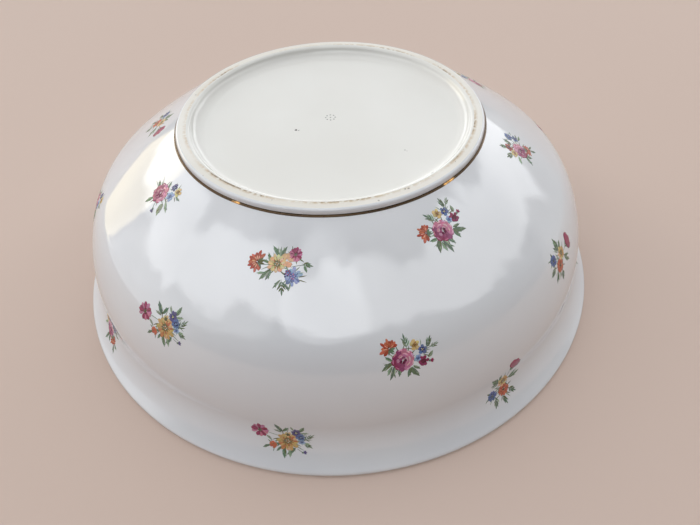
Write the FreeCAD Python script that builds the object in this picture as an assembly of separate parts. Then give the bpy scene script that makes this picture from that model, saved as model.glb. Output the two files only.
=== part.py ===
import FreeCAD, Part
import math
import os

os.makedirs("parts", exist_ok=True)

# Porcelain serving bowl with a foot ring, glaze coats, a gilt foot line and flower-spray transfers.
# The bowl stands on its rim with the foot ring upwards, as it is dried and stored.
# Frame: millimetres, +Z up through the middle of the bowl, origin in the rim's plane at the axis.

# ---- the finished (glazed) shape
rim_radius = 130.0          # to the outside of the lip
height = 81.8               # rim plane to the standing face of the foot
wall_thickness = 3.6        # over both glaze coats; the lip is a full round of this thickness
glaze = 0.25                # thickness of a coat
floor_thickness = 4.6       # fired body between the foot recess and the inside

# ---- the wall as tangent arcs, from the foot to the lip; a slope is degrees below horizontal
slope_at_foot = 28.5
slope_at_bend = 35.0        # where the shoulder turns into the bend
slope_at_belly = 57.5       # where the bend turns into the belly
slope_at_waist = 88.0       # steepest place, where the belly turns into the flare
slope_at_lip = 37.5
bend_radius = 28.0
flare_radius = 24.0         # hollow curve of the flare

# ---- the foot ring
foot_radius = 67.2          # outer side
foot_side = 0.12            # straight part of its side, between the rounding and the fillet
foot_rounding = 1.4         # outer edge
foot_fillet = 1.0           # between the foot's side and the wall
foot_face_width = 2.9       # flat, unglazed standing face
recess_depth = 4.5
recess_rounding = 2.2       # inner edge of the foot
recess_cove = 6.0           # hollow curve down to the recess floor
seat_depth = 1.0            # the foot is luted into a seat this deep
seat_margin = 1.5           # seat edge inside the cove

# ---- coats, gilding and transfers
face_bare_angle = 9.0       # the coats stop this far round the foot's edges
lip_bare_angle = 20.0       # and this far either side of the lip's lowest line
gold_film = 0.06
gold_width = 0.8            # gilding on the wall, beside the fillet
enamel_film = 0.08
petal_notch = 0.72          # how deep the notches between petals go, as a share of a flower's size
prism_half = 4.0            # cutting depth of a transfer's outline either side of the wall
film_half_angle = 12.0      # sector of enamel film that a spray is cut from
mark_film = 0.05
mark_ring_radius = 2.1
mark_dot_radius = 0.33
mark_dots = 8

lip_radius = wall_thickness / 2


def vec(x, z, y=0.0):
    return FreeCAD.Vector(x, y, z)


def normal(angle):
    """Outward normal of the profile where it slopes by angle below the horizontal."""
    return math.sin(angle), math.cos(angle)


def arc_from(point, radius, angle):
    """Arc that leaves a point at a slope: centre and signed radius, negative where it is hollow."""
    n = normal(angle)
    return point[0] - radius * n[0], point[1] - radius * n[1], radius


def at(arc, angle, depth=0.0):
    """Point of an arc at a slope, at a depth under the finished surface."""
    n = normal(angle)
    return arc[0] + (arc[2] - depth) * n[0], arc[1] + (arc[2] - depth) * n[1]


# ---- profile of the finished surface: (arc, slope at its start, slope at its end)
foot_slope, bend_slope, belly_slope, waist_slope, lip_slope = (
    math.radians(a) for a in (slope_at_foot, slope_at_bend, slope_at_belly, slope_at_waist, slope_at_lip))
upright = math.radians(90)
half_turn = math.radians(180)

lip_arc = (rim_radius - lip_radius, lip_radius, lip_radius)
fillet_top = height - foot_rounding - foot_side
fillet_arc = (foot_radius + foot_fillet, fillet_top, -foot_fillet)
wall_start = at(fillet_arc, foot_slope)
wall_end = at(lip_arc, lip_slope)


def across(start, end):
    """Run of a unit arc between two slopes."""
    return math.sin(end) - math.sin(start), math.cos(end) - math.cos(start)


def shoulder_and_belly_radii():
    """The two radii that bring the tangent arcs from the foot to the lip exactly."""
    bend = across(bend_slope, belly_slope)
    flare = across(waist_slope, lip_slope)
    run = [wall_end[i] - wall_start[i] - bend_radius * bend[i] + flare_radius * flare[i] for i in (0, 1)]
    a, b = across(foot_slope, bend_slope), across(belly_slope, waist_slope)
    det = a[0] * b[1] - b[0] * a[1]
    return (run[0] * b[1] - b[0] * run[1]) / det, (a[0] * run[1] - run[0] * a[1]) / det


shoulder_radius, belly_radius = shoulder_and_belly_radii()

wall = []
place = wall_start
for radius, start, end in ((shoulder_radius, foot_slope, bend_slope), (bend_radius, bend_slope, belly_slope),
                           (belly_radius, belly_slope, waist_slope), (-flare_radius, waist_slope, lip_slope)):
    arc = arc_from(place, radius, start)
    wall.append((arc, start, end))
    place = at(arc, end)

face_outer = foot_radius - foot_rounding
face_inner = face_outer - foot_face_width
rounding_arc = (face_outer, height - foot_rounding, foot_rounding)
recess_slope = math.acos(1 - recess_depth / (recess_rounding + recess_cove))
recess_floor = height - recess_depth
recess_floor_radius = face_inner - (recess_rounding + recess_cove) * math.sin(recess_slope)
inner_rounding_arc = (face_inner, height - recess_rounding, recess_rounding)
cove_arc = (recess_floor_radius, recess_floor + recess_cove, -recess_cove)

body_top = recess_floor - glaze
seat_level = body_top - seat_depth
seat_inner = recess_floor_radius - seat_margin
shoulder_arc = wall[0][0]
seat_slope = math.acos((seat_level - shoulder_arc[1]) / (shoulder_arc[2] - glaze))

inside_floor = body_top - floor_thickness
bend_arc = wall[1][0]
inside_start = at(bend_arc, bend_slope, wall_thickness)
inside_radius = (inside_floor - inside_start[1]) / (1 - math.cos(bend_slope))
inside_arc = arc_from(inside_start, inside_radius, bend_slope)


def line(a, b):
    return Part.LineSegment(vec(*a), vec(*b)).toShape()


def run_of(stretch, depth):
    """Edges along a stretch of the profile at a depth, with straight lines where arcs don't meet."""
    edges = []
    last = None
    for arc, start, end in stretch:
        first, middle, final = (at(arc, a, depth) for a in (start, (start + end) / 2, end))
        if last and math.dist(last, first) > 1e-6:
            edges.append(line(last, first))
        edges.append(Part.Arc(vec(*first), vec(*middle), vec(*final)).toShape())
        last = final
    return edges


def ends(stretch, depth):
    return at(stretch[0][0], stretch[0][1], depth), at(stretch[-1][0], stretch[-1][2], depth)


def turned(edges, angle=360.0):
    """Solid made by turning a closed section about the bowl's axis."""
    section = Part.Face(Part.Wire(Part.__sortEdges__(edges)))
    return section.revolve(FreeCAD.Vector(), FreeCAD.Vector(0, 0, 1), angle)


def coat(stretch, under, over, to_axis=None, angle=360.0):
    """Coat between two depths; to_axis is 'start' or 'end' where the coat closes over the middle."""
    edges = run_of(stretch, under) + run_of(stretch, over)
    caps = list(zip(ends(stretch, under), ends(stretch, over)))
    for name, (low, high) in zip(("start", "end"), caps):
        if name == to_axis:
            edges += [line(low, (0, low[1])), line((0, low[1]), (0, high[1])), line((0, high[1]), high)]
        else:
            edges.append(line(low, high))
    return turned(edges, angle)


# ---- stretches of the finished surface
bare = math.radians(face_bare_angle)
lip_bare = math.radians(lip_bare_angle)
glazed_foot_side = [(rounding_arc, bare, upright), (fillet_arc, upright, foot_slope)]
outer_lip = [(lip_arc, lip_slope, half_turn - lip_bare)]
inner_lip = [(lip_arc, half_turn + lip_bare, half_turn + lip_slope)]
glazed_recess = [(cove_arc, 0, -recess_slope), (inner_rounding_arc, -recess_slope, -bare)]
inside_wall = [(arc, end, start) for arc, start, end in reversed(wall[1:])]
inside_cove = [(inside_arc, bend_slope, 0)]


def bowl_body():
    """Fired porcelain: floor, wall and lip, with a seat for the foot ring."""
    outer = [(shoulder_arc, seat_slope, bend_slope)] + wall[1:] + outer_lip
    seat_outer = at(shoulder_arc, seat_slope, glaze)
    floor_edge = at(inside_arc, 0, -glaze)
    edges = run_of(outer, glaze) + run_of([(lip_arc, half_turn - lip_bare, half_turn + lip_bare)], 0)
    for angle in (half_turn - lip_bare, half_turn + lip_bare):
        edges.append(line(at(lip_arc, angle, glaze), at(lip_arc, angle)))
    edges += run_of(inner_lip, glaze) + run_of(inside_wall, wall_thickness - glaze)
    edges += run_of(inside_cove, -glaze)
    corners = [floor_edge, (0, floor_edge[1]), (0, body_top), (seat_inner, body_top),
               (seat_inner, seat_level), seat_outer]
    edges += [line(a, b) for a, b in zip(corners, corners[1:])]
    return turned(edges)


def foot_ring():
    """Luted foot: flat unglazed standing face, rounded edges and a cove to the recess floor."""
    skirt = [(shoulder_arc, foot_slope, seat_slope)]
    edges = [line((face_inner, height), (face_outer, height))]
    edges += run_of([(rounding_arc, 0, bare)], 0) + run_of([(inner_rounding_arc, -bare, 0)], 0)
    edges += [line(at(arc, angle), at(arc, angle, glaze))
              for arc, angle in ((rounding_arc, bare), (inner_rounding_arc, -bare))]
    edges += run_of(glazed_foot_side + skirt, glaze) + run_of(glazed_recess, glaze)
    corners = [at(cove_arc, 0, glaze), (seat_inner, body_top), (seat_inner, seat_level),
               at(shoulder_arc, seat_slope, glaze)]
    edges += [line(a, b) for a, b in zip(corners, corners[1:])]
    return turned(edges)


def outer_glaze():
    return coat(glazed_foot_side + wall + outer_lip, glaze, 0)


def inner_glaze():
    """Coat of the inside, from the lip to the floor and across it."""
    edges = run_of(inner_lip, glaze) + run_of(inner_lip, 0)
    edges += run_of(inside_wall, wall_thickness - glaze) + run_of(inside_wall, wall_thickness)
    edges += run_of(inside_cove, -glaze) + run_of(inside_cove, 0)
    low, high = at(inside_arc, 0), at(inside_arc, 0, -glaze)
    lip_start = half_turn + lip_bare
    corners = [low, (0, low[1]), (0, high[1]), high]
    edges += [line(a, b) for a, b in zip(corners, corners[1:])]
    edges.append(line(at(lip_arc, lip_start, glaze), at(lip_arc, lip_start)))
    return turned(edges)


def base_glaze():
    return coat(glazed_recess, glaze, 0, to_axis="start")


def gold_foot_line():
    """Gilt band in the corner between the foot and the wall, on the outer coat."""
    end = foot_slope + gold_width / shoulder_radius
    return coat([(fillet_arc, upright, foot_slope), (shoulder_arc, foot_slope, end)], 0, -gold_film)


def base_mark():
    """Plain ring of dots round a middle dot, printed on the recess floor."""
    centres = [(0.0, 0.0)]
    for k in range(mark_dots):
        a = 2 * math.pi * k / mark_dots
        centres.append((mark_ring_radius * math.cos(a), mark_ring_radius * math.sin(a)))
    return Part.Compound([Part.makeCylinder(mark_dot_radius, mark_film, FreeCAD.Vector(x, y, recess_floor))
                          for x, y in centres])


# ---- transfers: a design is its flowers (x, y, size, petals) and leaves (x, y, length, width, heading),
# in millimetres and degrees on the wall's surface, x round the bowl and y towards the foot
designs = {
    "rose": (
        [(-6.1, 4.6, 3.3, 8), (-1.9, -0.9, 4.2, 7), (3.2, 3.8, 1.9, 5), (5.5, 1.2, 1.8, 5),
         (3.4, -1.3, 1.5, 5), (5.4, -3.2, 2.0, 6), (7.8, -3.6, 0.9, 4)],
        [(0.2, 3.4, 4.8, 1.5, 95), (0.2, 3.4, 3.3, 1.2, 140), (0.2, 3.4, 3.4, 1.2, 65),
         (7.4, 1.6, 3.2, 1.3, 65), (7.4, 1.6, 4.0, 1.0, 5), (7.6, -1.6, 2.6, 1.4, 25),
         (-6.0, -1.2, 5.2, 1.8, 200), (-6.0, -1.2, 3.2, 1.3, 150), (-5.6, -2.6, 5.8, 1.5, 262),
         (0.8, -4.6, 4.6, 1.9, 300), (0.6, -4.6, 3.8, 1.4, 262)]),
    "marigold": (
        [(-10.0, 0.0, 3.6, 6), (1.6, -1.2, 4.3, 9), (-3.1, -4.7, 2.2, 5), (3.7, 4.4, 1.9, 5),
         (5.9, 2.5, 2.0, 5), (6.6, 0.2, 1.5, 5), (8.3, -4.4, 1.3, 4)],
        [(-2.2, 2.8, 5.4, 1.8, 130), (-1.6, 3.0, 3.6, 1.4, 85), (5.0, 5.0, 3.8, 1.7, 70),
         (7.4, 1.2, 5.0, 1.2, 55), (7.8, 0.6, 3.8, 1.4, 335), (1.0, -5.2, 4.2, 1.7, 285),
         (5.4, -4.0, 4.0, 1.4, 250), (-4.6, -6.0, 3.2, 1.1, 205)]),
    "cornflower": (
        [(-9.6, 1.0, 3.4, 9), (-1.4, 1.4, 3.3, 8), (2.2, 3.0, 2.2, 5), (5.0, 5.3, 2.7, 6),
         (4.7, -2.5, 3.2, 9)],
        [(-0.8, 4.2, 4.2, 1.7, 125), (-0.4, 4.4, 4.4, 1.5, 72), (-4.2, 1.6, 3.6, 1.3, 110),
         (-4.4, 1.0, 3.4, 1.2, 165), (-3.8, -1.2, 5.0, 1.6, 222), (-3.8, -1.4, 3.4, 1.3, 272),
         (0.8, -4.2, 5.4, 1.3, 280), (0.6, -4.2, 4.0, 1.0, 235), (7.0, 2.4, 3.8, 1.3, 355)]),
    "posy": (
        [(-0.4, -1.4, 4.0, 7), (3.6, -5.8, 2.6, 8), (-3.6, 5.2, 2.0, 5), (-5.2, 1.6, 2.1, 6),
         (4.4, 5.2, 2.2, 5), (5.8, 1.2, 1.9, 5)],
        [(-6.4, 3.0, 5.0, 1.5, 165), (-4.6, 6.2, 4.2, 1.4, 120), (-0.6, 3.2, 5.0, 1.5, 88),
         (6.8, -0.4, 3.6, 1.2, 340), (-2.6, -5.0, 4.2, 1.6, 250), (4.6, -7.6, 3.8, 1.2, 290),
         (-5.8, -0.4, 3.8, 1.4, 205)]),
    "garland": (
        [(-2.8, -0.4, 4.3, 7), (3.2, 1.8, 2.0, 5), (1.8, 5.8, 1.5, 5), (5.2, 5.4, 1.8, 6),
         (0.2, -6.6, 1.0, 4)],
        [(2.4, -1.4, 5.4, 1.9, 290), (3.6, -0.6, 4.4, 1.4, 325), (-4.4, -4.2, 4.0, 1.6, 235),
         (-6.4, 1.2, 3.8, 1.4, 150), (-1.0, 3.6, 3.4, 1.2, 110), (6.2, 3.8, 3.0, 1.1, 350)]),
    "poppy": (
        [(9.2, 1.0, 3.6, 5), (1.2, 1.6, 2.7, 7), (-2.6, -2.2, 3.0, 6), (-6.2, 2.8, 2.4, 6)],
        [(0.6, 4.0, 5.0, 1.6, 88), (0.6, 4.0, 4.0, 1.3, 135), (1.0, 3.8, 4.0, 1.3, 45),
         (-6.6, -0.4, 4.4, 1.3, 200), (-5.4, -3.2, 4.4, 1.2, 235), (-1.6, -4.8, 4.8, 1.4, 262),
         (3.4, -1.8, 5.6, 1.6, 300), (4.2, 0.4, 3.0, 1.0, 20)]),
}

# ---- places: azimuth and turn in degrees, and how far along the wall the spray's middle is,
# from the foot line on the shoulder, from the belly join on the belly, and from the lip on the flare
places = {
    "shoulder": [("cornflower", -104.2, 0, 19.6), ("rose", -61.0, 36, 13.0), ("posy", -15.5, 0, 17.4),
                 ("garland", 27.0, 20, 15.0), ("marigold", 72.0, 10, 16.5), ("cornflower", 121.0, -25, 17.0),
                 ("poppy", 171.5, 15, 15.2), ("garland", -147.9, 0, 14.1)],
    "belly": [("rose", -78.8, 0, -0.6), ("poppy", -36.6, 0, 0.7), ("cornflower", 8.0, 30, 0.4),
              ("posy", 54.0, -20, -1.0), ("rose", 99.0, 48, 1.2), ("marigold", 144.0, 12, 0.0),
              ("garland", -171.0, 8, -0.8), ("marigold", -126.6, 0, -1.7)],
    "flare": [("marigold", -101.8, -13, 13.6), ("poppy", -58.7, 50, 15.6), ("rose", -14.0, 22, 14.0),
              ("garland", 33.0, -30, 13.2), ("poppy", 78.0, 18, 14.4), ("cornflower", 122.0, 0, 14.0),
              ("rose", 167.0, -24, 13.6), ("posy", -150.1, 12, 13.4)],
}


def along_wall(distance):
    """Arc and slope at a distance down the wall from its start."""
    for arc, start, end in wall:
        length = abs(arc[2] * (end - start))
        if distance <= length:
            return arc, start + (end - start) * distance / length
        distance -= length
    return wall[-1][0], wall[-1][2]


wall_lengths = [abs(arc[2] * (end - start)) for arc, start, end in wall]
row_starts = {"shoulder": (0.0, 1), "belly": (sum(wall_lengths[:2]), 1), "flare": (sum(wall_lengths), -1)}


def polar(x, y, distance, degrees):
    a = math.radians(degrees)
    return FreeCAD.Vector(x + distance * math.cos(a), y + distance * math.sin(a), 0)


def flower_outline(x, y, size, petals):
    step = 360.0 / petals
    notch = size * petal_notch
    return [Part.Arc(polar(x, y, notch, k * step), polar(x, y, size, (k + 0.5) * step),
                     polar(x, y, notch, (k + 1) * step)).toShape() for k in range(petals)]


def leaf_outline(x, y, length, width, heading):
    base, tip = polar(x, y, 0, heading), polar(x, y, length, heading)
    middle = (base + tip) / 2
    sides = [polar(middle.x, middle.y, width / 2, heading + turn) for turn in (90, -90)]
    return [Part.Arc(base, sides[0], tip).toShape(), Part.Arc(tip, sides[1], base).toShape()]


def design_prism(name):
    """Everything printed in one design, fused into prisms that cut through the wall."""
    flowers, leaves = designs[name]
    outlines = [flower_outline(*f) for f in flowers] + [leaf_outline(*f) for f in leaves]
    through = FreeCAD.Vector(0, 0, 2 * prism_half)
    cutters = [Part.Face(Part.Wire(edges)).extrude(through) for edges in outlines]
    prism = cutters[0].multiFuse(cutters[1:]).removeSplitter()
    prism.translate(FreeCAD.Vector(0, 0, -prism_half))
    return prism


prisms = {name: design_prism(name) for name in designs}


def spray(row, design, azimuth, turn, offset):
    """One transfer: the design's prism on the wall, cut to the enamel film's thickness."""
    start, direction = row_starts[row]
    arc, slope = along_wall(start + direction * offset)
    r, z = at(arc, slope)
    n = normal(slope)
    across_bowl, up_wall = FreeCAD.Vector(0, 1, 0), FreeCAD.Vector(-n[1], 0, n[0])
    stance = FreeCAD.Placement(vec(r, z), FreeCAD.Rotation(across_bowl, up_wall, vec(*n), "ZXY"))
    prism = prisms[design].copy()
    prism.rotate(FreeCAD.Vector(), FreeCAD.Vector(0, 0, 1), turn)
    prism.transformShape(stance.toMatrix())
    film = coat(wall, 0, -enamel_film, angle=2 * film_half_angle)
    film.rotate(FreeCAD.Vector(), FreeCAD.Vector(0, 0, 1), -film_half_angle)
    shape = Part.Compound(prism.common(film).Solids)
    shape.rotate(FreeCAD.Vector(), FreeCAD.Vector(0, 0, 1), azimuth)
    return shape


nodes = {
    "bowl_body": bowl_body(),
    "foot_ring": foot_ring(),
    "outer_glaze": outer_glaze(),
    "inner_glaze": inner_glaze(),
    "base_glaze": base_glaze(),
    "gold_foot_line": gold_foot_line(),
    "base_mark": base_mark(),
}
for row, sprays in places.items():
    for number, entry in enumerate(sprays, start=1):
        nodes[f"spray_{row}_{number}"] = spray(row, *entry)

for name, shape in nodes.items():
    shape.exportStep(f"parts/{name}.step")
    print(name, "solids", len(shape.Solids), "valid", shape.isValid(), "volume %.1f" % shape.Volume)
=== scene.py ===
import math
import bpy
import numpy as np
from mathutils import Matrix, Vector


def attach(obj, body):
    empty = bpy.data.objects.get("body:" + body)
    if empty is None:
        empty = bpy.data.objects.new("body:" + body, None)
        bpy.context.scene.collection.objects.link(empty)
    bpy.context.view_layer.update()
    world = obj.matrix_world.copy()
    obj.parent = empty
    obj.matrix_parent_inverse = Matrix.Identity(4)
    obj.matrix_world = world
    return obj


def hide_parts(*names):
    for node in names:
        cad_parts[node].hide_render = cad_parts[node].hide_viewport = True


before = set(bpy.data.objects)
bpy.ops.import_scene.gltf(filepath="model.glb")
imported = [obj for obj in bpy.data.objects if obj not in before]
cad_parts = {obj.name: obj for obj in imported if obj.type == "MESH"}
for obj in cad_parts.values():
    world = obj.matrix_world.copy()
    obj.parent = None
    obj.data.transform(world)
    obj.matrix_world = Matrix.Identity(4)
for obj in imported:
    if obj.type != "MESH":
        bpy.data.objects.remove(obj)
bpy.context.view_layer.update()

mm = 0.001


viewpoint = {
    "distance": 0.285,       # metres from the middle of the rim
    "elevation": 44.9,       # degrees above the floor
    "pan": 1.2,              # degrees that the aim is off the middle of the rim
    "tilt": -2.64,
    "roll": -3.45,
    "lens": 26.16,           # mm on a 36 mm sensor
}


def makeCamera(look):
    # straight look at the origin from the front, then pan, tilt and roll in that order
    elevation, pan, tilt, roll = (math.radians(look[turn]) for turn in ("elevation", "pan", "tilt", "roll"))
    place = look["distance"] * Vector((0, -math.cos(elevation), math.sin(elevation)))
    ahead = -place.normalized()
    right = ahead.cross(Vector((0, 0, 1))).normalized()
    up = right.cross(ahead)
    aim = (ahead * math.cos(pan) + right * math.sin(pan)) * math.cos(tilt) + up * math.sin(tilt)
    right = aim.cross(up).normalized()
    up = right.cross(aim)
    side = right * math.cos(roll) + up * math.sin(roll)
    head = up * math.cos(roll) - right * math.sin(roll)
    camera = bpy.data.objects.new("camera", bpy.data.cameras.new("camera"))
    camera.data.lens = look["lens"]
    camera.data.sensor_width = 36
    camera.data.clip_start = 0.01
    turn = Matrix((side, head, -aim)).transposed().to_4x4()
    camera.matrix_world = Matrix.Translation(place) @ turn
    bpy.context.collection.objects.link(camera)
    bpy.context.scene.camera = camera


studio = {
    # soft light: azimuth from the front (positive to the right) and elevation of its middle, inner and
    # outer half-angle, softness of its edges, all in degrees, then brightness and colour
    "lobes": {
        "canopyMiddle": (180, 51, 0, 35, 12, 0.78, (0.97, 0.985, 1.0)),
        "canopyRing": (180, 51, 35, 54, 12, 0.54, (0.97, 0.985, 1.0)),
        "canopyEdge": (180, 62, 48, 62.5, 3, 1.6, (0.96, 0.98, 1.0)),
        "frontPanel": (-14, 61, 0, 15, 6, 1.1, (0.96, 0.98, 1.0)),
        "leftPanel": (-66, 46, 0, 20, 8, 0.6, (0.97, 0.985, 1.0)),
        "leftGlow": (-94, 8, 0, 25, 12, 0.95, (0.98, 0.98, 1.0)),
        "leftWindow": (-127, 9, 0, 15, 2.5, 1.6, (1.0, 0.84, 0.52)),
        "rightWall": (118, 0, 0, 27, 10, 0.5, (1.0, 0.98, 0.95)),
        "horizonBand": (0, 90, 76, 112, 28, 0.13, (1.0, 0.94, 0.91)),
    },
    "overhead": {"place": (0.0, 0.5, 1.7), "width": 1.6, "depth": 1.2, "brightness": 0.38},
    "surround": (0.05, 0.05, 0.05),
    # the light cloth hangs unevenly: its edges sway by degrees and its brightness drifts
    "drape": {"scale": 3.2, "sway": 22.0, "levels": (0.84, 1.12)},
    "floor": (0.81, 0.73, 0.685),
    "floorDrift": 1.04,
    "floorSize": 40.0,
    "backdrop": (0.81, 0.745, 0.705),
}


def towards(azimuth, elevation):
    a, e = math.radians(azimuth), math.radians(elevation)
    return math.sin(a) * math.cos(e), -math.cos(a) * math.cos(e), math.sin(e)


def makeLights(plan):
    box = plan["overhead"]
    light = bpy.data.lights.new("overheadBox", "AREA")
    light.shape = "RECTANGLE"
    light.size, light.size_y = box["width"], box["depth"]
    light.energy = box["brightness"] * math.pi * box["width"] * box["depth"]
    lamp = bpy.data.objects.new("overheadBox", light)
    lamp.location = box["place"]
    lamp.visible_camera = False
    bpy.context.collection.objects.link(lamp)

    # each lobe's brightness falls with a smooth step at its inner and outer angle from its middle
    room = bpy.data.worlds.new("room")
    room.use_nodes = True
    tree = room.node_tree
    direction = addNode(tree, "ShaderNodeTexCoord").outputs["Generated"]
    drape = plan["drape"]
    folds = noise(tree, direction, drape["scale"], 3.0)
    sway = times(tree, maths(tree, "SUBTRACT", folds, 0.5), math.radians(drape["sway"]))
    total = plan["surround"]
    for azimuth, elevation, inner, outer, soft, brightness, colour in plan["lobes"].values():
        facing = addNode(tree, "ShaderNodeVectorMath", {0: direction, 1: towards(azimuth, elevation)},
                         operation="DOT_PRODUCT").outputs["Value"]
        away = maths(tree, "ADD", maths(tree, "ARCCOSINE", facing), sway)
        inside = ramp(tree, away, *(math.radians(v) for v in (outer + soft / 2, outer - soft / 2)))
        if inner:
            past = ramp(tree, away, *(math.radians(v) for v in (inner - soft / 2, inner + soft / 2)))
            inside = times(tree, inside, past)
        glow = addNode(tree, "ShaderNodeVectorMath", {0: [brightness * c for c in colour], "Scale": inside},
                       operation="SCALE").outputs[0]
        total = addNode(tree, "ShaderNodeVectorMath", {0: total, 1: glow}, operation="ADD").outputs[0]
    level = ramp(tree, folds, 0.3, 0.7, *drape["levels"])
    total = addNode(tree, "ShaderNodeVectorMath", {0: total, "Scale": level}, operation="SCALE").outputs[0]
    # the lights' shapes show in the glaze only; behind the floor there is a plain backdrop
    direct = addNode(tree, "ShaderNodeLightPath").outputs["Is Camera Ray"]
    seen = mixColours(tree, direct, total, paint(*plan["backdrop"]))
    tree.links.new(seen, tree.nodes["Background"].inputs["Color"])
    bpy.context.scene.world = room
    bpy.context.scene.view_settings.view_transform = "Standard"


def addNode(tree, kind, inputs=None, **settings):
    made = tree.nodes.new(kind)
    for name, value in settings.items():
        setattr(made, name, value)
    for name, value in (inputs or {}).items():
        if isinstance(value, bpy.types.NodeSocket):
            tree.links.new(value, made.inputs[name])
        else:
            made.inputs[name].default_value = value
    return made


def newMaterial(name, **sockets):
    material = bpy.data.materials.new(name)
    material.use_nodes = True
    shader = material.node_tree.nodes["Principled BSDF"]
    for socket, value in sockets.items():
        shader.inputs[socket.replace("_", " ")].default_value = value
    return material, material.node_tree, shader


def maths(tree, operation, a, b=0.0):
    return addNode(tree, "ShaderNodeMath", {0: a, 1: b}, operation=operation).outputs[0]


def times(tree, a, b):
    return maths(tree, "MULTIPLY", a, b)


def mixColours(tree, amount, a, b, blend="MIX"):
    sockets = {0: amount, 6: a, 7: b}       # the factor and the two colours
    return addNode(tree, "ShaderNodeMix", sockets, data_type="RGBA", blend_type=blend).outputs[2]


def ramp(tree, value, low, high, lowOut=0.0, highOut=1.0):
    return addNode(tree, "ShaderNodeMapRange", {0: value, 1: low, 2: high, 3: lowOut, 4: highOut},
                   interpolation_type="SMOOTHSTEP").outputs[0]


def paint(red, green, blue):
    # display colour, 0 to 1, to the linear colour that shaders take
    straight = [c / 12.92 if c <= 0.04045 else ((c + 0.055) / 1.055) ** 2.4 for c in (red, green, blue)]
    return (*straight, 1.0)


def newGroup(name, inputs, outputs):
    group = bpy.data.node_groups.new(name, "ShaderNodeTree")
    for socket, kind, value in inputs:
        made = group.interface.new_socket(socket, in_out="INPUT", socket_type=kind)
        if value is not None:
            made.default_value = value
    for socket, kind in outputs:
        group.interface.new_socket(socket, in_out="OUTPUT", socket_type=kind)
    return group, group.nodes.new("NodeGroupInput"), group.nodes.new("NodeGroupOutput")


# how many waves of each unevenness go in a metre
waves = {"peel": 900.0, "patches": 14.0, "printGrain": 1500.0, "printClouds": 420.0, "stain": 42.0,
         "grinding": 620.0, "rubbingAndGlints": 55.0, "brushing": 1500.0, "markClouds": 2200.0, "ironClouds": 3000.0,
         "floorClouds": 3.0}
# and how high the finer ones stand
relief = {"glaze": 0.05 * mm, "grinding": 0.02 * mm, "brushing": 0.01 * mm, "print": 0.008 * mm,
          "body": 0.02 * mm}


def noise(tree, place, scale, detail, **more):
    sockets = {"Vector": place, "Scale": scale, "Detail": detail, **more}
    return addNode(tree, "ShaderNodeTexNoise", sockets).outputs[0]


def firedSurfaceGroup():
    # slow unevenness of a jiggered wall, fine orange peel of the glaze, pinholes and iron specks
    group, given, result = newGroup(
        "firedSurface",
        [("Place", "NodeSocketVector", None), ("Slow Size", "NodeSocketFloat", 30.0),
         ("Peel", "NodeSocketFloat", 0.2), ("Speck Size", "NodeSocketFloat", 260.0),
         ("Speck Share", "NodeSocketFloat", 0.02)],
        [("Height", "NodeSocketFloat"), ("Specks", "NodeSocketFloat"), ("Patches", "NodeSocketFloat")])
    place = given.outputs["Place"]
    slow = noise(group, place, given.outputs["Slow Size"], 1.5)
    fine = times(group, noise(group, place, waves["peel"], 1.0), given.outputs["Peel"])
    group.links.new(maths(group, "ADD", slow, fine), result.inputs["Height"])
    cells = addNode(group, "ShaderNodeTexVoronoi", {"Vector": place, "Scale": given.outputs["Speck Size"]})
    chosen = addNode(group, "ShaderNodeSeparateColor", {0: cells.outputs["Color"]})
    rare = maths(group, "LESS_THAN", chosen.outputs[0], given.outputs["Speck Share"])
    small = ramp(group, cells.outputs["Distance"], 0.30, 0.12)
    group.links.new(times(group, rare, small), result.inputs["Specks"])
    group.links.new(noise(group, place, waves["patches"], 3.0), result.inputs["Patches"])
    return group


def printedStrokeGroup():
    # one painted stroke of a transfer: root to tip shading, veins along it, a leaf's midrib and side
    # veins, and the fine grain of the print
    group, given, result = newGroup(
        "printedStroke",
        [("Stroke", "NodeSocketVector", None), ("Root", "NodeSocketColor", None),
         ("Tip", "NodeSocketColor", None), ("Place", "NodeSocketVector", None)],
        [("Color", "NodeSocketColor"), ("Height", "NodeSocketFloat")])
    parts = addNode(group, "ShaderNodeSeparateXYZ", {0: given.outputs["Stroke"]})
    along, across, leaf = parts.outputs
    grain = noise(group, given.outputs["Place"], waves["printGrain"], 2.0)
    cloud = noise(group, given.outputs["Place"], waves["printClouds"], 1.0)
    # the product and sum node's third socket stays at its own half
    shifted = maths(group, "ADD", along, maths(group, "MULTIPLY_ADD", cloud, 0.7))
    tinted = mixColours(group, ramp(group, shifted, 0.35, 1.15), given.outputs["Root"], given.outputs["Tip"])
    veins = maths(group, "SINE", times(group, across, 9.0))
    veins = times(group, maths(group, "ABSOLUTE", veins), maths(group, "SUBTRACT", 1.0, leaf))
    width = maths(group, "ABSOLUTE", across)
    midrib = ramp(group, width, 0.16, 0.04)
    slant = maths(group, "SUBTRACT", times(group, along, 30.0), times(group, width, 7.0))
    ribs = ramp(group, maths(group, "SINE", slant), 0.55, 1.0)
    lines = times(group, maths(group, "MAXIMUM", midrib, times(group, ribs, 0.5)), leaf)
    dark = maths(group, "ADD", times(group, veins, 0.35), times(group, lines, 0.75))
    shaded = mixColours(group, times(group, dark, 0.6), tinted, given.outputs["Root"])
    level = ramp(group, grain, 0.25, 0.75, 0.86, 1.12)
    grey = addNode(group, "ShaderNodeCombineColor", {0: level, 1: level, 2: level})
    group.links.new(mixColours(group, 1.0, shaded, grey.outputs[0], "MULTIPLY"), result.inputs["Color"])
    group.links.new(maths(group, "ADD", grain, dark), result.inputs["Height"])
    return group


def objectPlace(tree):
    return addNode(tree, "ShaderNodeTexCoord").outputs["Object"]


def axisDistance(tree, place):
    flat = addNode(tree, "ShaderNodeVectorMath", {0: place, 1: (1, 1, 0)}, operation="MULTIPLY")
    return addNode(tree, "ShaderNodeVectorMath", {0: flat.outputs[0]}, operation="LENGTH").outputs["Value"]


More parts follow.
